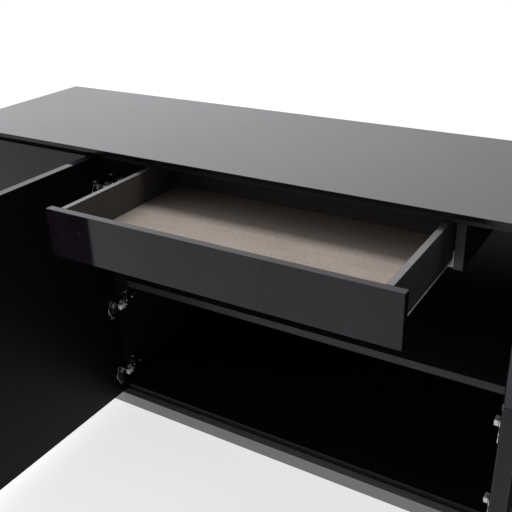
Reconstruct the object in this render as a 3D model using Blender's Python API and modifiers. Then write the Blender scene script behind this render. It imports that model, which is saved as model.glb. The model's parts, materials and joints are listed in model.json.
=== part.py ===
"""A long low sideboard: four hinged doors and one inner drawer, hung behind the two centre doors.

Frame: +X to the right as seen from the front, +Y to the back, +Z up.
The origin is on the floor, at the middle of the underside of the plinth's front board.
All sizes are in metres. The centre doors stand open, the left one at 90 degrees and the right one at
100, and the drawer stands pulled out.
"""

import math

import bmesh
import bpy
from mathutils import Vector

# Overall sizes
WIDTH = 2.076
DEPTH = 0.500
HEIGHT = 0.772

# Boards
TOP_THICKNESS = 0.010
CARCASS_TOP_THICKNESS = 0.024
BOARD = 0.020
BACK_THICKNESS = 0.008
PLINTH_HEIGHT = 0.037
PLINTH_THICKNESS = 0.030
SIDE_INSET = 0.001           # side panels stand this far inside the top's ends
DIVIDER_SPACING = 1.089      # between the middles of the two dividers

# Doors
DOOR_THICKNESS = 0.021
DOOR_GAP = 0.003             # between two doors side by side
DOOR_END_INSET = 0.002       # outer doors stop this far inside the top's ends
DOOR_TOP_GAP = 0.016         # finger groove between the top and the doors
DOOR_BOTTOM_GAP = 0.004      # between the plinth and the doors
DOOR_BACK_GAP = 0.002        # between a closed door and the edges it closes on
TOP_OVERHANG = 0.014         # the top reaches this far in front of the door faces
PLINTH_SETBACK = 0.002       # the plinth stands this far behind the door faces

# Door hinges
OUTER_AXIS_INSET = 0.006     # hinge axis from the door's hinge edge, and from its front face
CENTRE_AXIS_INSET = 0.010
CUP_RADIUS = 0.0175
CUP_EDGE_WALL = 0.0040       # wood left between the cup's bore and the door's hinge edge
CUP_DEPTH = 0.0120
CUP_CLEARANCE = 0.0003
FLANGE_SIZE = (0.020, 0.060)
FLANGE_THICKNESS = 0.0012
ARM_LENGTH = 0.062
ARM_HEIGHT = 0.017
ARM_SETBACK = 0.010          # arm's nose behind the carcass front
LINK_SIZE = (0.0105, 0.020, 0.014)
LINK_CLEARANCE = 0.0022      # open door's flange to the link beside it
LINK_LAP = 0.0028            # how far the link and the arm reach into each other
LINK_REACH = 0.007           # link's nose in front of the carcass front
PLATE_FROM_FRONT = 0.037
PLATE_SIZE = (0.0030, 0.022, 0.052)
HINGE_BELOW_DOOR_TOP = 0.086
HINGE_ABOVE_DOOR_BOTTOM = 0.0606
HINGE_BELOW_SHELF = 0.0305
OPEN_ANGLES = {"left": math.radians(90), "right": math.radians(100)}
OPEN_SHIFTS = {"left": 0.0, "right": 0.0064}   # an open hinge moves its door this far inwards

# Shelves
SHELF_TOP_HEIGHT = 0.364
SHELF_SETBACK = 0.055        # behind the carcass front
SHELF_SIDE_GAP = 0.001

# Drawer and the two panels it hangs between
HANGER_FROM_DIVIDER = 0.1375  # divider's face to the hanger's outer face
HANGER_SETBACK = 0.023        # hanger's front edge behind the carcass front
DRAWER_FRONT_HEIGHT = 0.108
DRAWER_FRONT_THICKNESS = 0.0175
DRAWER_FRONT_GAP = 0.0005     # closed front to the hangers' edges
DRAWER_TOP_GAP = 0.0025
DRAWER_SIDE_GAP = 0.0065
DRAWER_SIDE_THICKNESS = 0.014
DRAWER_SIDE_HEIGHT = 0.093
DRAWER_BACK_GAP = 0.033
DRAWER_BOTTOM_THICKNESS = 0.010
DRAWER_BOTTOM_LIFT = 0.007    # sides reach this far below the bottom panel
GROOVE_DEPTH = 0.006
DRAWER_OUT = 0.312

# Runners
RUNNER_METAL = 0.0015
RUNNER_LEG = 0.035
RUNNER_LIP = 0.014
RUNNER_ABOVE_HANGER_EDGE = 0.0045
RUNNER_MEMBER_SIZE = (0.0135, 0.0042)
RUNNER_END_GAP = 0.010

CLEAR = 0.0003               # gap between pieces that touch
EDGE = 0.0006                # softened edge of a board

# Planes that the pieces share
TOP_FRONT_Y = -(PLINTH_THICKNESS / 2 + PLINTH_SETBACK + TOP_OVERHANG)
DOOR_FACE_Y = TOP_FRONT_Y + TOP_OVERHANG
DOOR_BACK_Y = DOOR_FACE_Y + DOOR_THICKNESS
CARCASS_Y = DOOR_BACK_Y + DOOR_BACK_GAP
BACK_Y = TOP_FRONT_Y + DEPTH
INNER_BACK_Y = BACK_Y - BACK_THICKNESS - CLEAR
SIDE_X = WIDTH / 2 - SIDE_INSET
SIDE_INNER_X = SIDE_X - BOARD
DIVIDER_X = DIVIDER_SPACING / 2
DIVIDER_IN_X = DIVIDER_X - BOARD / 2
DIVIDER_OUT_X = DIVIDER_X + BOARD / 2
BASE_Z = PLINTH_HEIGHT + CLEAR
FLOOR_Z = BASE_Z + BOARD
TOP_UNDER_Z = HEIGHT - TOP_THICKNESS
CARCASS_TOP_Z = TOP_UNDER_Z - CLEAR
CEILING_Z = CARCASS_TOP_Z - CARCASS_TOP_THICKNESS
DOOR_LOW_Z = PLINTH_HEIGHT + DOOR_BOTTOM_GAP
DOOR_HIGH_Z = TOP_UNDER_Z - DOOR_TOP_GAP
SHELF_UNDER_Z = SHELF_TOP_HEIGHT - BOARD
HANGER_X = DIVIDER_IN_X - HANGER_FROM_DIVIDER
HANGER_IN_X = HANGER_X - BOARD
HANGER_Y = CARCASS_Y + HANGER_SETBACK
DRAWER_TOP_Z = CEILING_Z - DRAWER_TOP_GAP
HANGER_LOW_Z = DRAWER_TOP_Z - DRAWER_FRONT_HEIGHT
DRAWER_X = HANGER_IN_X - DRAWER_SIDE_GAP
DRAWER_FRONT_Y = HANGER_Y - DRAWER_FRONT_GAP
DRAWER_REAR_Y = INNER_BACK_Y - DRAWER_BACK_GAP
RUNNER_Z = HANGER_LOW_Z + RUNNER_ABOVE_HANGER_EDGE
CUP_FROM_EDGE = CUP_RADIUS + CUP_EDGE_WALL
OPEN_DOOR_X = DIVIDER_X - DOOR_GAP / 2 - DOOR_THICKNESS
LINK_FROM_PANEL = DIVIDER_IN_X - OPEN_DOOR_X + CLEAR + FLANGE_THICKNESS + LINK_CLEARANCE
ARM_REACH = LINK_FROM_PANEL + LINK_LAP - CLEAR
HINGE_HEIGHTS = (
    DOOR_LOW_Z + HINGE_ABOVE_DOOR_BOTTOM,
    SHELF_UNDER_Z - HINGE_BELOW_SHELF,
    DOOR_HIGH_Z - HINGE_BELOW_DOOR_TOP,
)


def clear_scene():
    for item in list(bpy.data.objects):
        bpy.data.objects.remove(item, do_unlink=True)


def new_collection(name):
    collection = bpy.data.collections.new(name)
    bpy.context.scene.collection.children.link(collection)
    return collection


def new_material(name, colour, roughness, metallic=0.0):
    material = bpy.data.materials.new(name)
    material.use_nodes = True
    shader = material.node_tree.nodes["Principled BSDF"]
    shader.inputs["Base Color"].default_value = (*colour, 1.0)
    shader.inputs["Roughness"].default_value = roughness
    shader.inputs["Metallic"].default_value = metallic
    return material


clear_scene()
PARTS = new_collection("sideboard")
CUTTERS = new_collection("cutters")

TOP_FINISH = new_material("top_finish", (0.16, 0.16, 0.17), 0.35)
FRONT_FINISH = new_material("front_finish", (0.030, 0.030, 0.034), 0.30)
CARCASS_FINISH = new_material("carcass_finish", (0.022, 0.021, 0.022), 0.55)
SHELF_FINISH = new_material("shelf_finish", (0.10, 0.095, 0.088), 0.55)
PLINTH_FINISH = new_material("plinth_finish", (0.36, 0.36, 0.35), 0.45)
DRAWER_FINISH = new_material("drawer_finish", (0.055, 0.050, 0.047), 0.55)
DRAWER_BOTTOM_FINISH = new_material("drawer_bottom_finish", (0.30, 0.27, 0.24), 0.70)
NICKEL = new_material("nickel", (0.62, 0.62, 0.60), 0.28, 1.0)
RUNNER_STEEL = new_material("runner_steel", (0.75, 0.75, 0.74), 0.35, 1.0)


def mesh_object(name, bm, material, collection=None):
    mesh = bpy.data.meshes.new(name)
    bm.to_mesh(mesh)
    bm.free()
    item = bpy.data.objects.new(name, mesh)
    if material is not None:
        mesh.materials.append(material)
    (collection or PARTS).objects.link(item)
    return item


def box_mesh(low, high):
    low, high = Vector(low), Vector(high)
    bm = bmesh.new()
    bmesh.ops.create_cube(bm, size=1.0)
    size = high - low
    middle = (high + low) / 2
    for vert in bm.verts:
        vert.co = Vector(a * b for a, b in zip(vert.co, size)) + middle
    return bm


def soften(item, width, segments=1):
    bevel = item.modifiers.new("Bevel", "BEVEL")
    bevel.width = width
    bevel.segments = segments
    bevel.limit_method = "ANGLE"
    bevel.angle_limit = math.radians(40)
    return item


def board(name, low, high, material, edge=EDGE):
    """A flat board between two corners, with softened edges."""
    return soften(mesh_object(name, box_mesh(low, high), material), edge)


def cylinder(name, radius, length, middle, axis, segments, material=None, collection=None):
    """A closed cylinder along X or Y, centred on a point."""
    bm = bmesh.new()
    bmesh.ops.create_cone(
        bm, cap_ends=True, segments=segments, radius1=radius, radius2=radius, depth=length
    )
    for face in bm.faces:
        face.smooth = len(face.verts) == 4
    turn = Vector((0, 0, 1)).rotation_difference(Vector(axis)).to_matrix()
    for vert in bm.verts:
        vert.co = turn @ vert.co + Vector(middle)
    return mesh_object(name, bm, material, collection)


def combine(item, other, operation):
    """Joins or cuts an item with a hidden helper object."""
    other.hide_render = True
    other.display_type = "WIRE"
    boolean = item.modifiers.new(operation.title(), "BOOLEAN")
    boolean.operation = operation
    boolean.object = other


def cutter_box(name, low, high):
    return mesh_object(name, box_mesh(low, high), None, CUTTERS)


def mirrored(low, high, side):
    """A box's corners on the right (side 1) or, mirrored, on the left (side -1)."""
    if side > 0:
        return low, high
    return (-high[0], low[1], low[2]), (-low[0], high[1], high[2])


SIDES = (("left", -1), ("right", 1))


def build_top():
    half = WIDTH / 2
    board("top_slab", (-half, TOP_FRONT_Y, TOP_UNDER_Z), (half, BACK_Y, HEIGHT), TOP_FINISH, 0.0008)


def build_carcass():
    inner = SIDE_INNER_X - CLEAR
    board("carcass_top", (-inner, CARCASS_Y, CEILING_Z), (inner, INNER_BACK_Y, CARCASS_TOP_Z),
          CARCASS_FINISH)
    board("bottom_board", (-inner, CARCASS_Y, BASE_Z), (inner, INNER_BACK_Y, FLOOR_Z), CARCASS_FINISH)
    board("back_panel", (-inner, BACK_Y - BACK_THICKNESS, BASE_Z), (inner, BACK_Y, CARCASS_TOP_Z),
          CARCASS_FINISH)
    for word, side in SIDES:
        low, high = mirrored(
            (SIDE_INNER_X, CARCASS_Y, BASE_Z), (SIDE_X, BACK_Y, CARCASS_TOP_Z), side
        )
        board(f"side_panel_{word}", low, high, CARCASS_FINISH)
        low, high = mirrored(
            (DIVIDER_IN_X, CARCASS_Y, FLOOR_Z + CLEAR),
            (DIVIDER_OUT_X, INNER_BACK_Y, CEILING_Z - CLEAR), side
        )
        board(f"divider_{word}", low, high, CARCASS_FINISH)


def build_plinth():
    half = SIDE_X
    front = -PLINTH_THICKNESS / 2
    rear = BACK_Y - PLINTH_SETBACK
    board("plinth_front", (-half, front, 0), (half, -front, PLINTH_HEIGHT), PLINTH_FINISH)
    board("plinth_back", (-half, rear - PLINTH_THICKNESS, 0), (half, rear, PLINTH_HEIGHT), PLINTH_FINISH)
    for word, side in SIDES:
        low, high = mirrored(
            (half - PLINTH_THICKNESS, -front + CLEAR, 0),
            (half, rear - PLINTH_THICKNESS - CLEAR, PLINTH_HEIGHT), side
        )
        board(f"plinth_{word}", low, high, PLINTH_FINISH)


def build_shelves():
    front = CARCASS_Y + SHELF_SETBACK
    back = INNER_BACK_Y - CLEAR
    half = DIVIDER_IN_X - SHELF_SIDE_GAP
    board("shelf_centre", (-half, front, SHELF_UNDER_Z), (half, back, SHELF_TOP_HEIGHT), SHELF_FINISH)
    for word, side in SIDES:
        low, high = mirrored(
            (DIVIDER_OUT_X + SHELF_SIDE_GAP, front, SHELF_UNDER_Z),
            (SIDE_INNER_X - SHELF_SIDE_GAP, back, SHELF_TOP_HEIGHT), side
        )
        board(f"shelf_{word}", low, high, SHELF_FINISH)


def hinge_cup(name, side, inset, height):
    """The cup that sits in a door's bore, with its flange on the door's inner face."""
    along = side * (CUP_FROM_EDGE - inset)
    face = DOOR_THICKNESS - inset
    width, tall = FLANGE_SIZE
    flange = mesh_object(
        name,
        box_mesh((along - width / 2, face + CLEAR, height - tall / 2),
                 (along + width / 2, face + CLEAR + FLANGE_THICKNESS, height + tall / 2)),
        NICKEL,
    )
    rim = face + CLEAR + FLANGE_THICKNESS / 2
    length = rim - face + CUP_DEPTH - CUP_CLEARANCE
    middle = (along, rim - length / 2, height)
    cup = cylinder(f"{name}_barrel", CUP_RADIUS - CUP_CLEARANCE, length, middle, (0, 1, 0), 20,
                   None, CUTTERS)
    combine(flange, cup, "UNION")
    return flange, cup


def hinge_arm(name, side, face_x, height, door_is_open, shift):
    """The arm and its cross plate on the panel beside the door, with a link if the door is open."""

    def block(start, front, size):
        reach, length, tall = size
        low, high = mirrored(
            (start, front, height - tall / 2), (start + reach, front + length, height + tall / 2), side
        )
        return box_mesh((low[0] + face_x, *low[1:]), (high[0] + face_x, *high[1:]))

    shape = block(CLEAR, CARCASS_Y + ARM_SETBACK, (ARM_REACH + shift, ARM_LENGTH, ARM_HEIGHT))
    arm = mesh_object(name, shape, NICKEL)
    plate_front = CARCASS_Y + PLATE_FROM_FRONT - PLATE_SIZE[1] / 2
    plate = mesh_object(f"{name}_plate", block(CLEAR, plate_front, PLATE_SIZE), None, CUTTERS)
    combine(arm, plate, "UNION")
    if door_is_open:
        shape = block(LINK_FROM_PANEL + shift, CARCASS_Y - LINK_REACH, LINK_SIZE)
        combine(arm, mesh_object(f"{name}_link", shape, None, CUTTERS), "UNION")


def build_door(name, side, edge_x, width, panel_x, inset, turn=0, shift=0):
    """A door on its hinges: side 1 opens about its left edge, side -1 about its right edge.

    The door and its cups are drawn about the hinge axis as if closed, then turned by the open angle.
    """
    axis = Vector((edge_x + side * (inset + shift), DOOR_FACE_Y + inset, 0))
    low, high = mirrored(
        (-inset, -inset, DOOR_LOW_Z), (width - inset, DOOR_THICKNESS - inset, DOOR_HIGH_Z), side
    )
    door = board(name, low, high, FRONT_FINISH)
    pieces = [door]
    for number, height in enumerate(HINGE_HEIGHTS, 1):
        cup, barrel = hinge_cup(f"hinge_cup_{name[5:]}_{number}", side, inset, height)
        middle = (side * (CUP_FROM_EDGE - inset), DOOR_THICKNESS - inset, height)
        bore = cylinder(f"bore_{name[5:]}_{number}", CUP_RADIUS, 2 * CUP_DEPTH, middle, (0, 1, 0), 20,
                        None, CUTTERS)
        combine(door, bore, "DIFFERENCE")
        pieces += [cup, barrel, bore]
        hinge_arm(f"hinge_arm_{name[5:]}_{number}", side, panel_x, height, turn != 0, shift)
    for piece in pieces:
        piece.location = axis
        piece.rotation_euler = (0, 0, turn)


def build_doors():
    half_gap = DOOR_GAP / 2
    centre_edge = DIVIDER_X - half_gap
    outer_edge = WIDTH / 2 - DOOR_END_INSET
    outer_width = outer_edge - DIVIDER_X - half_gap
    for word, side in SIDES:
        build_door(f"door_outer_{word}", -side, side * outer_edge, outer_width, side * SIDE_INNER_X,
                   OUTER_AXIS_INSET)
        build_door(f"door_centre_{word}", -side, side * centre_edge, centre_edge - half_gap,
                   side * DIVIDER_IN_X, CENTRE_AXIS_INSET, side * OPEN_ANGLES[word], OPEN_SHIFTS[word])


def build_hangers():
    for word, side in SIDES:
        low, high = mirrored(
            (HANGER_IN_X, HANGER_Y, HANGER_LOW_Z), (HANGER_X, INNER_BACK_Y - CLEAR, CEILING_Z - CLEAR),
            side
        )
        board(f"hanger_{word}", low, high, SHELF_FINISH)
        build_cabinet_runner(word, side)


def build_cabinet_runner(word, side):
    """An L-shaped rail: one leg on the hanger's inner face, one lip under the drawer's side."""
    outer = HANGER_IN_X - CLEAR
    front = HANGER_Y + CLEAR
    rear = INNER_BACK_Y - RUNNER_END_GAP
    low, high = mirrored(
        (outer - RUNNER_METAL, front, RUNNER_Z), (outer, rear, RUNNER_Z + RUNNER_LEG), side
    )
    rail = mesh_object(f"cabinet_runner_{word}", box_mesh(low, high), RUNNER_STEEL)
    low, high = mirrored(
        (outer - RUNNER_LIP, front, RUNNER_Z), (outer, rear, RUNNER_Z + RUNNER_METAL), side
    )
    lip = cutter_box(f"cabinet_runner_{word}_lip", low, high)
    combine(rail, lip, "UNION")


def build_drawer():
    """The drawer, drawn pushed in and then moved out with its two runner members."""
    pieces = []
    half = HANGER_X
    pieces.append(board(
        "drawer_front", (-half, DRAWER_FRONT_Y - DRAWER_FRONT_THICKNESS, HANGER_LOW_Z),
        (half, DRAWER_FRONT_Y, DRAWER_TOP_Z), FRONT_FINISH))
    start = DRAWER_FRONT_Y + CLEAR
    inner = DRAWER_X - DRAWER_SIDE_THICKNESS
    side_low = DRAWER_TOP_Z - DRAWER_SIDE_HEIGHT
    under = side_low + DRAWER_BOTTOM_LIFT
    upper = under + DRAWER_BOTTOM_THICKNESS
    groove = inner + GROOVE_DEPTH
    for word, side in SIDES:
        low, high = mirrored((inner, start, side_low), (DRAWER_X, DRAWER_REAR_Y, DRAWER_TOP_Z), side)
        panel = mesh_object(f"drawer_side_{word}", box_mesh(low, high), DRAWER_FINISH)
        low, high = mirrored(
            (inner - GROOVE_DEPTH, start - BOARD, under - CLEAR),
            (groove, DRAWER_REAR_Y + BOARD, upper + CLEAR), side
        )
        slot = cutter_box(f"drawer_groove_{word}", low, high)
        combine(panel, slot, "DIFFERENCE")
        soften(panel, EDGE)
        width, tall = RUNNER_MEMBER_SIZE
        low, high = mirrored(
            (DRAWER_X - width, start + CLEAR, side_low - CLEAR - tall),
            (DRAWER_X, DRAWER_REAR_Y, side_low - CLEAR), side
        )
        member = board(f"drawer_runner_{word}", low, high, RUNNER_STEEL, EDGE / 2)
        pieces += [panel, slot, member]
    pieces.append(board(
        "drawer_bottom", (-groove + CLEAR, start, under), (groove - CLEAR, DRAWER_REAR_Y, upper),
        DRAWER_BOTTOM_FINISH, EDGE / 2))
    pieces.append(board(
        "drawer_back", (-inner + CLEAR, DRAWER_REAR_Y - DRAWER_SIDE_THICKNESS, upper + CLEAR),
        (inner - CLEAR, DRAWER_REAR_Y, DRAWER_TOP_Z), DRAWER_FINISH))
    for piece in pieces:
        piece.location = (0, -DRAWER_OUT, 0)


build_plinth()
build_carcass()
build_top()
build_shelves()
build_doors()
build_hangers()
build_drawer()
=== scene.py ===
"""The looks of the sideboard: lacquers, boards and metal, with detailed hinges and runners."""

import json
import math

import bmesh
import bpy
from mathutils import Matrix, Vector


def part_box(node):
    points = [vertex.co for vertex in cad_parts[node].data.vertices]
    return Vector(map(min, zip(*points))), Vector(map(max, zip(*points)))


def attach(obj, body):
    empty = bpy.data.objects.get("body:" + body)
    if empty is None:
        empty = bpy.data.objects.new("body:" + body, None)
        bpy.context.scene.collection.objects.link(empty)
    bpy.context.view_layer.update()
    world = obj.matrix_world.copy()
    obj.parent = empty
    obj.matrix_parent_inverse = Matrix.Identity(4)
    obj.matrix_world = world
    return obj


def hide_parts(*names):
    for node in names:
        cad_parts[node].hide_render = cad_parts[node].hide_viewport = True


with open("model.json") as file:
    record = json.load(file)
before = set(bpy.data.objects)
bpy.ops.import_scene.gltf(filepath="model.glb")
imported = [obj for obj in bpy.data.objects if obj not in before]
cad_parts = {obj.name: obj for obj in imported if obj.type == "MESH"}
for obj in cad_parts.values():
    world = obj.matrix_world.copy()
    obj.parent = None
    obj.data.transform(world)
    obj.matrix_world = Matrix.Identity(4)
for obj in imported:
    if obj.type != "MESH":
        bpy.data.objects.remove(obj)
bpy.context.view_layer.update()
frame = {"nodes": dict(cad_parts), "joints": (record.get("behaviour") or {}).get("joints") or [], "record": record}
NODES = frame["nodes"]
SIDES = (("left", -1), ("right", 1))
DOORS = [(kind, word, side) for kind in ("centre", "outer") for word, side in SIDES]


# ---------------------------------------------------------------- node helpers


class Shader:
    """A material under construction: short calls that add nodes and join them."""

    def __init__(self, name, roughness=0.5, metallic=0.0, **sockets):
        self.material = bpy.data.materials.new(name)
        self.material.use_nodes = True
        self.tree = self.material.node_tree
        self.bsdf = self.tree.nodes["Principled BSDF"]
        self.bsdf.inputs["Roughness"].default_value = roughness
        self.bsdf.inputs["Metallic"].default_value = metallic
        for socket, value in sockets.items():
            self.bsdf.inputs[socket.replace("_", " ")].default_value = value
        coordinates = self.node("ShaderNodeTexCoord")
        self.place = coordinates.outputs["Object"]

    def node(self, kind, **settings):
        item = self.tree.nodes.new(kind)
        for key, value in settings.items():
            setattr(item, key, value)
        return item

    def join(self, source, target):
        self.tree.links.new(source, target)

    def stretch(self, scale):
        """Object coordinates scaled along each axis."""
        mapping = self.node("ShaderNodeMapping")
        mapping.inputs["Scale"].default_value = scale
        self.join(self.place, mapping.inputs["Vector"])
        return mapping.outputs["Vector"]

    def noise(self, scale, detail=4.0, roughness=0.55, distortion=0.0, place=None):
        item = self.node("ShaderNodeTexNoise")
        item.inputs["Scale"].default_value = scale
        item.inputs["Detail"].default_value = detail
        item.inputs["Roughness"].default_value = roughness
        item.inputs["Distortion"].default_value = distortion
        self.join(place or self.place, item.inputs["Vector"])
        return item.outputs["Fac"]

    def ramp(self, source, *stops):
        """A colour ramp. Each stop is (position, colour or grey)."""
        item = self.node("ShaderNodeValToRGB")
        elements = item.color_ramp.elements
        while len(elements) < len(stops):
            elements.new(0.5)
        for element, (position, value) in zip(elements, stops):
            element.position = position
            colour = value if isinstance(value, tuple) else (value,) * 3
            element.color = (*colour, 1.0)
        self.join(source, item.inputs["Fac"])
        return item.outputs["Color"]

    def mix(self, factor, a, b, blend="MIX"):
        item = self.node("ShaderNodeMix", data_type="RGBA", blend_type=blend)
        for socket, value in ((0, factor), (6, a), (7, b)):
            if isinstance(value, tuple):
                item.inputs[socket].default_value = (*value, 1.0)
            elif isinstance(value, float):
                item.inputs[socket].default_value = value
            else:
                self.join(value, item.inputs[socket])
        return item.outputs[2]

    def span(self, source, low, high):
        """Maps 0..1 to low..high."""
        item = self.node("ShaderNodeMapRange")
        item.inputs["To Min"].default_value = low
        item.inputs["To Max"].default_value = high
        self.join(source, item.inputs["Value"])
        return item.outputs["Result"]

    def facing(self, direction):
        """1 on surfaces that face a direction of the piece, 0 elsewhere."""
        along = self.node("ShaderNodeVectorMath", operation="DOT_PRODUCT")
        self.join(self.node("ShaderNodeTexCoord").outputs["Normal"], along.inputs[0])
        along.inputs[1].default_value = direction
        mask = self.node("ShaderNodeMath", operation="GREATER_THAN")
        mask.inputs[1].default_value = 0.9
        self.join(along.outputs["Value"], mask.inputs[0])
        return mask.outputs[0]

    def facing_up(self):
        """1 on surfaces that face up, 0 on edges and undersides."""
        return self.facing((0.0, 0.0, 1.0))

    def colour(self, source):
        self.join(source, self.bsdf.inputs["Base Color"])

    def rough(self, source):
        self.join(source, self.bsdf.inputs["Roughness"])

    def shine(self, source):
        self.join(source, self.bsdf.inputs["Specular IOR Level"])

    def bump(self, source, distance, strength=1.0):
        item = self.node("ShaderNodeBump")
        item.inputs["Distance"].default_value = distance
        item.inputs["Strength"].default_value = strength
        self.join(source, item.inputs["Height"])
        self.join(item.outputs["Normal"], self.bsdf.inputs["Normal"])


# ---------------------------------------------------------------- materials


def satin_top():
    """Graphite satin lacquer, black and glossier on the slab's edges."""
    s = Shader("top_satin", 0.34, IOR=1.5)
    cloud = s.noise(2.3, 3.0)
    up = s.facing_up()
    face = s.mix(s.noise(5.0, 5.0), (0.066, 0.067, 0.071), (0.080, 0.080, 0.083))
    s.colour(s.mix(up, (0.004, 0.004, 0.0045), face))
    s.rough(s.mix(up, (0.16, 0.16, 0.16), s.span(cloud, 0.29, 0.37)))
    s.shine(s.span(up, 0.26, 0.5))
    s.bump(s.noise(900.0, 2.0), 0.00004, 0.5)
    return s.material


def lacquer(name, dark, light, roughness, shine, inner=None):
    """Near-black lacquered front with faint veins. A door's inner face is plain matt black."""
    s = Shader(name, roughness, IOR=1.5, Specular_IOR_Level=shine)
    cloud = s.noise(6.0, 6.0, 0.6, 0.4, s.stretch((1.0, 1.0, 0.5)))
    vein = s.noise(7.0, 7.0, 0.62, 1.6, s.stretch((1.0, 1.0, 1.2)))
    lines = s.ramp(vein, (0.487, 0.0), (0.5, 1.0), (0.513, 0.0))
    base = s.mix(s.ramp(cloud, (0.3, 0.0), (0.7, 1.0)), dark, light)
    bright = tuple(2.2 * c for c in light)
    front = s.mix(s.mix(0.42, (0.0, 0.0, 0.0), lines), base, bright)
    gloss = s.span(cloud, roughness - 0.02, roughness + 0.03)
    if inner is None:
        s.colour(front)
        s.rough(gloss)
    else:
        mask = s.facing(inner)
        plain = s.mix(cloud, (0.0012, 0.0010, 0.0012), (0.0030, 0.0024, 0.0028))
        s.colour(s.mix(mask, front, plain))
        s.rough(s.mix(mask, gloss, (0.46, 0.46, 0.46)))
        s.shine(s.span(mask, shine, 0.10))
    s.bump(s.noise(45.0, 3.0, 0.5, 0.0, s.stretch((1.0, 1.0, 0.4))), 0.00010, 0.3)
    return s.material


def matt_board(name, dark, light, roughness=0.55, grain=(1.0, 1.0, 1.0)):
    """Matt foiled board with a fine pressed grain."""
    s = Shader(name, roughness, Specular_IOR_Level=0.35)
    along = s.stretch(grain)
    streak = s.noise(60.0, 6.0, 0.6, 0.2, along)
    s.colour(s.mix(s.ramp(streak, (0.3, 0.0), (0.7, 1.0)), dark, light))
    s.rough(s.span(s.noise(25.0, 4.0), roughness - 0.06, roughness + 0.06))
    s.bump(streak, 0.00008, 0.5)
    return s.material


def drawer_panel(name, dark, light, along, edge=None):
    """Textured panel: long soft grain lines with a crossed linen weave, and a plain top edge band."""
    s = Shader(name, 0.62, Specular_IOR_Level=0.3)
    grain = s.noise(38.0, 7.0, 0.65, 0.6, s.stretch(along))
    weave = s.noise(420.0, 2.0, 0.5, 0.0, s.stretch((0.22, 1.0, 1.0)))
    cross = s.noise(420.0, 2.0, 0.5, 0.0, s.stretch((1.0, 0.22, 1.0)))
    threads = s.mix(0.5, weave, cross)
    soft = s.mix(0.5, grain, s.noise(9.0, 4.0, 0.5, 0.5))
    tone = s.mix(s.ramp(soft, (0.28, 0.0), (0.72, 1.0)), dark, light)
    speck = s.mix(s.ramp(threads, (0.38, 0.0), (0.62, 1.0)), (0.84, 0.84, 0.84), (1.12, 1.12, 1.12))
    body = s.mix(1.0, tone, speck, "MULTIPLY")
    if edge is not None:
        up = s.facing_up()
        s.colour(s.mix(up, body, edge))
        s.rough(s.mix(up, s.span(grain, 0.56, 0.70), (0.34, 0.34, 0.34)))
    else:
        s.colour(body)
        s.rough(s.span(grain, 0.56, 0.70))
    s.bump(threads, 0.00012, 0.5)
    return s.material


def painted_base():
    """Light grey satin paint on the plinth, with a soft roller texture."""
    s = Shader("plinth_paint", 0.42, Coat_Weight=0.15)
    s.colour(s.mix(s.noise(11.0, 5.0), (0.21, 0.206, 0.20), (0.25, 0.245, 0.237)))
    s.rough(s.span(s.noise(30.0, 3.0), 0.38, 0.50))
    s.bump(s.noise(500.0, 3.0), 0.00005, 0.5)
    return s.material


def bright_metal(name, colour, roughness, metallic=1.0, grain=(1.0, 1.0, 1.0)):
    """Plated or coated steel with a faint drawn grain."""
    s = Shader(name, roughness, metallic)
    streak = s.noise(160.0, 5.0, 0.6, 0.0, s.stretch(grain))
    dim = tuple(0.86 * c for c in colour)
    s.colour(s.mix(streak, dim, colour))
    s.rough(s.span(streak, roughness - 0.05, roughness + 0.10))
    s.bump(streak, 0.00003, 0.4)
    return s.material


def dark_void():
    """Unlit inside of a screw's cross recess."""
    s = Shader("recess", 0.8, 0.0)
    s.colour(s.mix(s.noise(300.0), (0.010, 0.010, 0.010), (0.022, 0.022, 0.022)))
    return s.material


TOP = satin_top()
FRONT_DARK = (0.0055, 0.0040, 0.0066)
FRONT_LIGHT = (0.0135, 0.0095, 0.0150)
FRONT_ROUGHNESS = 0.06
DOOR_SHINE = 0.23
FRONT = lacquer("front_lacquer", FRONT_DARK, FRONT_LIGHT, FRONT_ROUGHNESS, 0.27)
CARCASS = matt_board("carcass_board", (0.0050, 0.0045, 0.0045), (0.0090, 0.0080, 0.0078), 0.42)
SHELF = matt_board("shelf_board", (0.020, 0.0165, 0.0165), (0.032, 0.027, 0.027), 0.50, (0.12, 1.0, 1.0))
HANGER = matt_board("hanger_board", (0.024, 0.021, 0.020), (0.038, 0.034, 0.031), 0.50, (1.0, 0.12, 1.0))
BASE = painted_base()
DRAWER_SIDE = drawer_panel("drawer_side", (0.050, 0.045, 0.041), (0.078, 0.070, 0.064), (1.0, 0.10, 1.0),
                           (0.135, 0.131, 0.133))
DRAWER_FLOOR = drawer_panel("drawer_floor", (0.255, 0.214, 0.184), (0.330, 0.280, 0.242), (0.10, 1.0, 1.0))
NICKEL = bright_metal("nickel_plate", (0.80, 0.79, 0.76), 0.12)
# a darker copy of the nickel plate: painted shade inside the hinge cup's hollow and on its pin block
PAINTED_SHADE_CUP = bright_metal("cup_painted_shade", (0.26, 0.26, 0.25), 0.25)
CASTING = bright_metal("cast_zinc", (0.88, 0.88, 0.86), 0.40, 0.35)
RUNNER = bright_metal("runner_coat", (0.80, 0.80, 0.79), 0.38, 0.0, (1.0, 0.05, 1.0))
RECESS = dark_void()
RUBBER = matt_board("bumper_rubber", (0.05, 0.05, 0.05), (0.08, 0.08, 0.08), 0.45)

DOOR_LOOKS = {}
SLOT_LOOKS = {
    "top_finish": TOP,
    "front_finish": FRONT,
    "carcass_finish": CARCASS,
    "shelf_finish": SHELF,
    "plinth_finish": BASE,
    "drawer_finish": DRAWER_SIDE,
    "drawer_bottom_finish": DRAWER_FLOOR,
    "nickel": NICKEL,
    "runner_steel": RUNNER,
}


def inner_direction(kind, word, side):
    """The way a door's inner face looks at rest."""
    return tuple(door_place(kind, word, side).to_3x3() @ Vector((0, 1, 0)))


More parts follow.
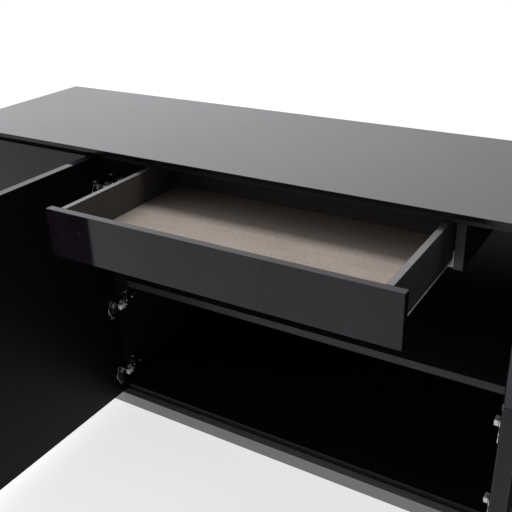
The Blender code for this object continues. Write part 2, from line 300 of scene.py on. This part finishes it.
def paint_nodes():
    """Gives every CAD node the look of its record slot."""
    for entry in frame["record"]["subparts"]:
        node = NODES[entry["node"]]
        look = SLOT_LOOKS[entry["material_slot"]]
        if entry["node"].startswith("hanger"):
            look = HANGER
        if entry["node"].startswith("door"):
            look = DOOR_LOOKS[entry["node"]]
        for index in range(len(node.data.materials)):
            node.data.materials[index] = look


# ---------------------------------------------------------------- mesh helpers


def piece(name, bm, materials, body, place=None, replaced=()):
    """Makes an object from mesh code, in the row's frame, riding on a body."""
    if place is not None:
        bm.transform(place)
    bmesh.ops.recalc_face_normals(bm, faces=bm.faces)
    mesh = bpy.data.meshes.new(name)
    bm.to_mesh(mesh)
    bm.free()
    item = bpy.data.objects.new(name, mesh)
    for material in materials:
        mesh.materials.append(material)
    bpy.context.scene.collection.objects.link(item)
    mesh.polygons.foreach_set("use_smooth", [True] * len(mesh.polygons))
    mesh.set_sharp_from_angle(angle=math.radians(35))
    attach(item, body)
    for node in replaced:
        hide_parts(node)
    return item


def add_box(bm, low, high, bevel=0.0, segments=2, material=0):
    """Adds a box with rounded edges to a mesh."""
    low, high = Vector(low), Vector(high)
    made = bmesh.ops.create_cube(bm, size=1.0)["verts"]
    for vert in made:
        vert.co = Vector(a * b for a, b in zip(vert.co, high - low)) + (low + high) / 2
    faces = {face for vert in made for face in vert.link_faces}
    for face in faces:
        face.material_index = material
    if bevel:
        edges = {edge for face in faces for edge in face.edges}
        bmesh.ops.bevel(
            bm, geom=list(edges), offset=bevel, segments=segments, profile=0.5, affect="EDGES",
            clamp_overlap=True, material=material,
        )


def add_turned(bm, profile, place, segments=40, material=0):
    """Adds a closed turned shape. The profile lists (radius, height) from one end's middle to the other's."""
    rings = []
    for radius, height in profile:
        if radius == 0:
            rings.append([bm.verts.new(place @ Vector((0, 0, height)))])
            continue
        rings.append([
            bm.verts.new(place @ Vector((radius * math.cos(a), radius * math.sin(a), height)))
            for a in (math.tau * k / segments for k in range(segments))
        ])
    for lower, upper in zip(rings, rings[1:]):
        for k in range(segments):
            n = (k + 1) % segments
            corners = [
                lower[k % len(lower)], lower[n % len(lower)], upper[n % len(upper)], upper[k % len(upper)],
            ]
            face = bm.faces.new(list(dict.fromkeys(corners)))
            face.material_index = material


def merge(bm, other, name):
    """Moves another mesh's faces into a mesh."""
    copy = bpy.data.meshes.new(name)
    other.to_mesh(copy)
    other.free()
    bm.from_mesh(copy)
    bpy.data.meshes.remove(copy)


def add_screw(bm, place, radius=0.0034, rise=0.0011, recess_material=1):
    """Adds a pan head with a cross recess. Its axis is the place's Z, and z = 0 is the surface."""
    shoulder = radius - 0.45 * rise
    profile = [(0, 0), (radius, 0), (radius, 0.45 * rise), (shoulder, 0.85 * rise), (0.5 * radius, rise),
               (0, rise)]
    add_turned(bm, profile, place, 20)
    arm, half = 0.62 * radius, 0.14 * radius
    for turn in (math.radians(45), math.radians(135)):
        slot = bmesh.new()
        add_box(slot, (-arm, -half, 0.4 * rise), (arm, half, 1.03 * rise), material=recess_material)
        slot.transform(place @ Matrix.Rotation(turn, 4, "Z"))
        merge(bm, slot, "slot")


# ---------------------------------------------------------------- hinges

JOINTS = {joint["name"]: joint for joint in frame["joints"]}
REST_TURNS = {"centre_left": -90.0, "centre_right": 100.0, "outer_left": 0.0, "outer_right": 0.0}
FLANGE_THICKNESS = 0.0012
FLANGE_WIDTH = 0.020
FLANGE_CORNER = 0.006
FLANGE_EDGE_BEVEL = 0.0003
FLANGE_SEGMENTS = 120
SCREW_SPACING = 0.048
CUP_WALL = 0.0009
CUP_CORNER = 0.002
FITTING_GAP = 0.0003         # between the arm's plate and the panel it is screwed to
PLATE_BEHIND_FRONT = 0.044   # middle of the plate's screws behind the carcass front
PLATE_SCREW_HEIGHT = 0.020
PLATE_THICKNESS = 0.0030
NOSE_BEHIND_FRONT = 0.010
CHANNEL_TOP = 0.0135         # the arm's folded channel, out of the panel
CHANNEL_HALF = 0.0080
CHANNEL_WALL = 0.0012
NOSE_BASE = 0.0060
LINK_WIDTH = 0.0105
LINK_HALF = 0.0070


def box_of(node):
    low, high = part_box(node)
    return Vector(low), Vector(high)


def door_place(kind, word, side):
    """From door space (x from the hinge edge, y from the front face inwards) to the row's frame."""
    axis = Vector(JOINTS[f"door_{kind}_{word}_hinge"]["pos_m"])
    inset = JOINTS[f"door_{kind}_left_hinge"]["pos_m"][0] - box_of(f"door_{kind}_left")[0].x
    turn = Matrix.Rotation(math.radians(REST_TURNS[f"{kind}_{word}"]), 4, "Z")
    mirror = Matrix.Diagonal((-side, 1, 1, 1))
    return Matrix.Translation((axis.x, axis.y, 0)) @ turn @ mirror @ Matrix.Translation((-inset, -inset, 0))


def cup_measures():
    """The cup's middle, radius, flange face and bottom in door space, from a closed door's cup."""
    low, high = box_of("hinge_cup_outer_left_1")
    door = box_of("door_outer_left")[0]
    return (low.x + high.x) / 2 - door.x, (high.x - low.x) / 2, high.y - door.y, low.y - door.y


def flange_reach(angle, radius, tall):
    """Distance from the cup's middle to the flange's outline at an angle from the hinge's X."""
    across, up = abs(math.cos(angle)), abs(math.sin(angle))
    half, end = FLANGE_WIDTH / 2, tall / 2
    corner = FLANGE_CORNER
    side = half / across if across > 1e-6 else 1.0
    reach = min(side, end / up if up > 1e-6 else 1.0)
    x, z = reach * across - (half - corner), reach * up - (end - corner)
    if x > 0 and z > 0:
        centre = Vector((half - corner, end - corner))
        ray = Vector((across, up))
        along = ray.dot(centre)
        reach = along + math.sqrt(max(corner ** 2 - (centre.length_squared - along ** 2), 0.0))
    return max(radius, reach)


def add_flange(bm, radius, tall, place, hole):
    """A ring around the cup's mouth that runs out into two screw wings."""
    count = FLANGE_SEGMENTS
    rows = []
    for reach_of, depth in (
        (lambda a: hole, 0), (lambda a: hole, FLANGE_THICKNESS),
        (lambda a: flange_reach(a, radius, tall) - FLANGE_EDGE_BEVEL, FLANGE_THICKNESS),
        (lambda a: flange_reach(a, radius, tall), FLANGE_THICKNESS - FLANGE_EDGE_BEVEL),
        (lambda a: flange_reach(a, radius, tall), 0),
    ):
        rows.append([
            bm.verts.new(place @ Vector((reach_of(a) * math.cos(a), reach_of(a) * math.sin(a), depth)))
            for a in (math.tau * k / count for k in range(count))
        ])
    for lower, upper in zip(rows, rows[1:] + rows[:1]):
        for k in range(count):
            n = (k + 1) % count
            bm.faces.new((lower[k], lower[n], upper[n], upper[k]))


def hinge_cup(kind, word, side, number):
    """A pressed cup with its flange, two screws and the pin block at the bottom of the cup."""
    node = f"hinge_cup_{kind}_{word}_{number}"
    low, high = box_of(node)
    height, tall = (low.z + high.z) / 2, high.z - low.z
    middle, radius, face, bottom = cup_measures()
    depth = face - FLANGE_THICKNESS - bottom
    # face space: x away from the hinge edge, y up, z out of the door's inner face
    turn = Matrix(((1, 0, 0), (0, 0, 1), (0, 1, 0))).to_4x4()
    local = Matrix.Translation((middle, face - FLANGE_THICKNESS, height)) @ turn
    bm = bmesh.new()
    wall, corner = CUP_WALL, CUP_CORNER
    inner = radius - wall
    # the cup's body takes the darker copy of the nickel, painted shade in the cup's hollow
    add_turned(bm, [
        (0, -depth), (radius - corner, -depth), (radius, -depth + corner), (radius, -0.0001),
        (inner, -0.0001), (inner, -depth + wall + corner), (inner - corner, -depth + wall),
        (0, -depth + wall),
    ], local, 56, 2)
    add_flange(bm, radius + 0.0006, tall, local, inner)
    for sign in (-1, 1):
        spot = local @ Matrix.Translation((0, sign * SCREW_SPACING / 2, FLANGE_THICKNESS - 0.0001))
        add_screw(bm, spot, 0.0034, 0.0004)
    cross = bmesh.new()
    add_box(cross, (-0.0065, -0.0085, -depth + wall), (0.0045, 0.0085, -0.0035), 0.0012)
    add_box(cross, (-0.0100, -0.0032, -0.0075), (0.0085, 0.0032, -0.0022), 0.0009)
    cross.transform(local)
    # the pin block takes the same darker nickel, painted shade at the bottom of the cup
    for face in cross.faces:
        face.material_index = 2
    merge(bm, cross, "cross")
    place = door_place(kind, word, side)
    piece(f"cup_{kind}_{word}_{number}", bm, (NICKEL, RECESS, PAINTED_SHADE_CUP), f"door_{kind}_{word}",
          place, (node,))


def hinge_arm(kind, word, side, number):
    """The arm with its adjusting screws, on a crossed plate that is screwed to the panel."""
    node = f"hinge_arm_{kind}_{word}_{number}"
    low, high = box_of(node)
    panel = box_of(f"{'divider' if kind == 'centre' else 'side_panel'}_{word}")
    inner = panel[0].x if side > 0 else panel[1].x
    height = (low.z + high.z) / 2
    tall = high.z - low.z
    rear = high.y
    reach = high.x - low.x
    # panel space: x out of the panel, y along the arm to the back, z up
    place = Matrix.Translation((inner, 0, height)) @ Matrix.Diagonal((-side, 1, 1, 1))
    carcass_front = box_of("bottom_board")[0].y
    plate = carcass_front + PLATE_BEHIND_FRONT
    nose = carcass_front + NOSE_BEHIND_FRONT
    bm = bmesh.new()
    gap = FITTING_GAP
    add_box(bm, (gap, plate - 0.011, -tall / 2), (PLATE_THICKNESS, plate + 0.011, tall / 2), 0.0012)
    add_box(bm, (gap, plate - 0.016, -0.0085), (0.0034, rear - 0.002, 0.0085), 0.0008)
    for sign in (-1, 1):
        spot = Matrix.Translation((PLATE_THICKNESS, plate, sign * PLATE_SCREW_HEIGHT))
        spot = spot @ Matrix.Rotation(math.pi / 2, 4, "Y")
        add_screw(bm, spot)
    # the folded channel: a back and two cheeks
    top, wide, thin = CHANNEL_TOP, CHANNEL_HALF, CHANNEL_WALL
    add_box(bm, (top - thin, nose + 0.010, -wide), (top, rear, wide), 0.0005)
    for sign in (-1, 1):
        cheek = sorted((sign * wide, sign * (wide - thin)))
        add_box(bm, (0.0036, nose + 0.010, cheek[0]), (top - 0.0004, rear, cheek[1]), 0.0004)
    for along in (plate - 0.009, rear - 0.013):
        spot = Matrix.Translation((top, along, 0)) @ Matrix.Rotation(math.pi / 2, 4, "Y")
        add_screw(bm, spot, 0.0036, 0.0010)
    if kind == "outer":
        add_box(bm, (NOSE_BASE, nose, -0.0062), (reach, nose + 0.016, 0.0062), 0.0022, 3, 2)
    else:
        link_low = reach - LINK_WIDTH + gap
        link_high = reach + gap
        front = low.y
        add_box(
            bm, (NOSE_BASE, nose + 0.001, -0.0078), (link_low + 0.001, nose + 0.010, 0.0078), 0.0014, 3, 2,
        )
        add_box(bm, (link_low, front, -LINK_HALF), (link_high, nose + 0.003, LINK_HALF), 0.0014, 3, 2)
        for sign in (-1, 1):
            spot = Matrix.Translation(((link_low + link_high) / 2, front + 0.006, sign * LINK_HALF))
            pin = spot if sign > 0 else spot @ Matrix.Rotation(math.pi, 4, "X")
            add_turned(bm, [(0, 0), (0.0022, 0), (0.0022, 0.0006), (0.0015, 0.0009), (0, 0.0009)], pin, 20)
    piece(f"arm_{kind}_{word}_{number}", bm, (NICKEL, RECESS, CASTING), "cabinet", place, (node,))


# ---------------------------------------------------------------- shelf pins, runners, small fittings


def shelf_pins():
    """Four short pins with a flat seat under each shelf's ends."""
    for word in ("left", "centre", "right"):
        low, high = box_of(f"shelf_{word}")
        for end, sign in ((low.x, -1), (high.x, 1)):
            for place, y in (("front", low.y + 0.050), ("rear", high.y - 0.050)):
                bm = bmesh.new()
                barrel = Matrix.Rotation(math.pi / 2, 4, "Y")
                add_turned(bm, [(0, -0.0009), (0.0025, -0.0009), (0.0025, 0.0010), (0.0040, 0.0010),
                                (0.0040, 0.0022), (0.0025, 0.0022), (0.0025, 0.0085), (0.0019, 0.0090),
                                (0, 0.0090)], barrel, 24)
                add_box(bm, (0.0022, -0.0030, 0.0012), (0.0085, 0.0030, 0.0039), 0.0005)
                frame_at = Matrix.Translation((end, y, low.z - 0.0041)) @ Matrix.Diagonal((-sign, 1, 1, 1))
                piece(f"pin_{word}_{'l' if sign < 0 else 'r'}_{place}", bm, (NICKEL,), "cabinet",
                      frame_at)


def runners():
    """Both halves of each side runner: a rolled L rail with screws, and the drawer's own channel."""
    for word, side in SIDES:
        low, high = box_of(f"cabinet_runner_{word}")
        width, length, tall = high - low
        bm = bmesh.new()
        metal = 0.0015
        add_box(bm, (0, 0, 0), (metal, length, tall), 0.0004)
        add_box(bm, (metal / 2, 0, 0), (width, length, metal), 0.0004)
        add_box(bm, (width - 0.0012, 0, 0.0002), (width, length, 0.0031), 0.0004)
        for k in range(4):
            along = 0.030 + k * (length - 0.060) / 3
            spot = Matrix.Translation((metal, along, 0.62 * tall)) @ Matrix.Rotation(math.pi / 2, 4, "Y")
            add_screw(bm, spot, 0.0040, 0.0012)
        origin = high.x if side > 0 else low.x
        place = Matrix.Translation((origin, low.y, low.z)) @ Matrix.Diagonal((-side, 1, 1, 1))
        piece(f"rail_{word}", bm, (RUNNER, RECESS), "cabinet", place,
              (f"cabinet_runner_{word}",))
        low, high = box_of(f"drawer_runner_{word}")
        width, length, tall = high - low
        bm = bmesh.new()
        add_box(bm, (0, 0, tall - 0.0012), (width, length, tall), 0.0004)
        for edge in (0.0, width - 0.0012):
            add_box(bm, (edge, 0, 0), (edge + 0.0012, length, tall - 0.0004), 0.0004)
        add_box(bm, (0, 0, 0), (width, 0.0012, tall), 0.0004)
        place = Matrix.Translation((low.x, low.y, low.z))
        piece(f"channel_{word}", bm, (RUNNER,), "drawer", place, (f"drawer_runner_{word}",))


def back_screws():
    """Screws round the edge of the back panel."""
    low, high = box_of("back_panel")
    bm = bmesh.new()
    out = Matrix.Rotation(-math.pi / 2, 4, "X")
    count = 9
    for k in range(count):
        x = low.x + 0.012 + k * (high.x - low.x - 0.024) / (count - 1)
        for z in (low.z + 0.010, high.z - 0.012):
            add_screw(bm, Matrix.Translation((x, high.y, z)) @ out, 0.0038, 0.0010)
    piece("back_screws", bm, (NICKEL, RECESS), "cabinet")


def door_bumpers(kind, word, side):
    """Two soft dots on a door's inner face, near its free edge."""
    low, high = box_of("door_outer_left")
    thickness = high.y - low.y
    width = high.x - low.x
    if kind == "centre":
        low, high = box_of("door_centre_left")
        width = high.y - low.y
    bm = bmesh.new()
    for z in (low.z + 0.008, high.z - 0.014):
        spot = Matrix.Translation((width - 0.020, thickness, z)) @ Matrix.Rotation(-math.pi / 2, 4, "X")
        add_turned(bm, [(0, 0), (0.004, 0), (0.0038, 0.0009), (0.0025, 0.0014), (0, 0.0016)], spot, 24)
    piece(f"bumpers_{kind}_{word}", bm, (RUBBER,), f"door_{kind}_{word}",
          door_place(kind, word, side))


for kind, word, side in DOORS:
    for number in (1, 2, 3):
        hinge_cup(kind, word, side, number)
        hinge_arm(kind, word, side, number)
    door_bumpers(kind, word, side)
    DOOR_LOOKS[f"door_{kind}_{word}"] = lacquer(
        f"door_lacquer_{kind}_{word}", FRONT_DARK, FRONT_LIGHT, FRONT_ROUGHNESS, DOOR_SHINE,
        inner_direction(kind, word, side),
    )
shelf_pins()
runners()
back_screws()
paint_nodes()


# ---------------------------------------------------------------- room


def area_light(name, place, target, size, energy, colour=(1.0, 1.0, 1.0)):
    data = bpy.data.lights.new(name, "AREA")
    data.shape = "RECTANGLE"
    data.size, data.size_y = size
    data.energy = energy
    data.color = colour
    lamp = bpy.data.objects.new(name, data)
    lamp.location = place
    aim = Vector(target) - Vector(place)
    lamp.rotation_euler = aim.to_track_quat("-Z", "Y").to_euler()
    bpy.context.scene.collection.objects.link(lamp)


def studio_world():
    """White paper behind and above the object, fading to a dim room in front of it."""
    world = bpy.data.worlds.new("studio")
    world.use_nodes = True
    tree = world.node_tree
    background = tree.nodes["Background"]
    direction = tree.nodes.new("ShaderNodeTexCoord").outputs["Generated"]
    aim = tree.nodes.new("ShaderNodeVectorMath")
    aim.operation = "DOT_PRODUCT"
    aim.inputs[1].default_value = Vector((-0.875, 0.235, 0.423)).normalized()
    tree.links.new(direction, aim.inputs[0])
    strength = tree.nodes.new("ShaderNodeMapRange")
    strength.inputs["From Min"].default_value = 0.20
    strength.inputs["From Max"].default_value = 1.0
    strength.inputs["To Min"].default_value = 0.20
    strength.inputs["To Max"].default_value = 1.75
    tree.links.new(aim.outputs["Value"], strength.inputs["Value"])
    tree.links.new(strength.outputs["Result"], background.inputs["Strength"])
    background.inputs["Color"].default_value = (0.97, 0.98, 1.0, 1.0)
    bpy.context.scene.world = world


def room():
    """A pale floor and a soft light overhead, behind the line of the slab's front edge."""
    s = Shader("studio_floor", 0.6, Emission_Color=(1.0, 1.0, 1.0, 1.0), Emission_Strength=0.72)
    s.colour(s.mix(s.noise(3.0, 3.0), (0.32, 0.32, 0.316), (0.35, 0.35, 0.346)))
    bm = bmesh.new()
    bmesh.ops.create_grid(bm, x_segments=1, y_segments=1, size=30.0)
    mesh = bpy.data.meshes.new("floor")
    bm.to_mesh(mesh)
    bm.free()
    mesh.materials.append(s.material)
    floor = bpy.data.objects.new("floor", mesh)
    bpy.context.scene.collection.objects.link(floor)
    studio_world()
    front = box_of("top_slab")[0].y
    area_light("overhead", (-0.3, front + 0.395, 3.0), (-0.3, front + 0.395, 0.0), (3.4, 0.84), 50.0)


def photo_camera():
    """The photograph's viewing angle, found from the perspective of the object's edges."""
    data = bpy.data.cameras.new("camera")
    data.sensor_width = 36.0
    data.lens = 51.79
    data.clip_end = 100.0
    camera = bpy.data.objects.new("camera", data)
    turn = Matrix.Rotation(math.radians(32.0), 4, "Z")
    tilt = Matrix.Rotation(math.radians(64.26), 4, "X")
    roll = Matrix.Rotation(math.radians(-1.87), 4, "Z")
    camera.matrix_world = Matrix.Translation((0.7395, -1.2927, 1.3041)) @ turn @ tilt @ roll
    bpy.context.scene.collection.objects.link(camera)
    bpy.context.scene.camera = camera
    bpy.context.scene.view_settings.view_transform = "Standard"


room()
photo_camera()
